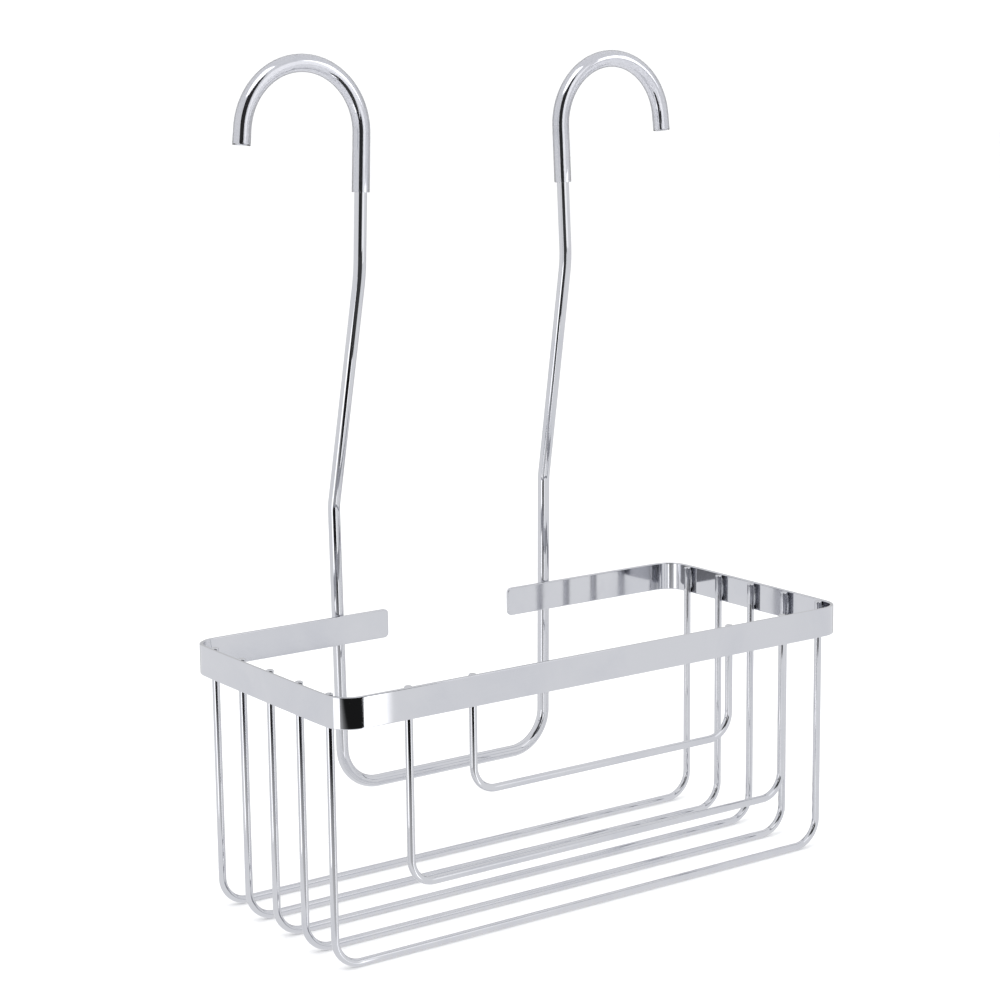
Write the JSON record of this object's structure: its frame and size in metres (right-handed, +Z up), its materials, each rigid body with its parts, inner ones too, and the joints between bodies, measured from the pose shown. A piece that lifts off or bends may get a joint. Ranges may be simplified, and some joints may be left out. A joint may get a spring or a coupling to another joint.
{
  "type": "shower caddy",
  "caption": "Chrome wire basket with a flat rim that hangs from a bent rod with two outward hooks in clear sleeves, for a wall mixer's inlets.",
  "frame": {"origin": "on the surface that the basket stands on, in the middle of the caddy's outline seen from above", "axes": "+X along the basket to the right as seen from the front, +Y to the wall, +Z up along the hanger"},
  "size_m": [0.245, 0.1172, 0.333],
  "materials": {
    "chrome": "bright chrome plate on steel",
    "clear_sleeve": "clear soft plastic tube, smooth"
  },
  "bodies": {
    "root": {"rim_band": "chrome", "basket_wire_1": "chrome", "basket_wire_2": "chrome", "basket_wire_3": "chrome", "basket_wire_4": "chrome", "basket_wire_5": "chrome", "guard_wire_outer": "chrome", "guard_wire_inner": "chrome", "hanger_rod": "chrome", "hook_sleeve_left": "clear_sleeve", "hook_sleeve_right": "clear_sleeve"}
  },
  "joints": []
}
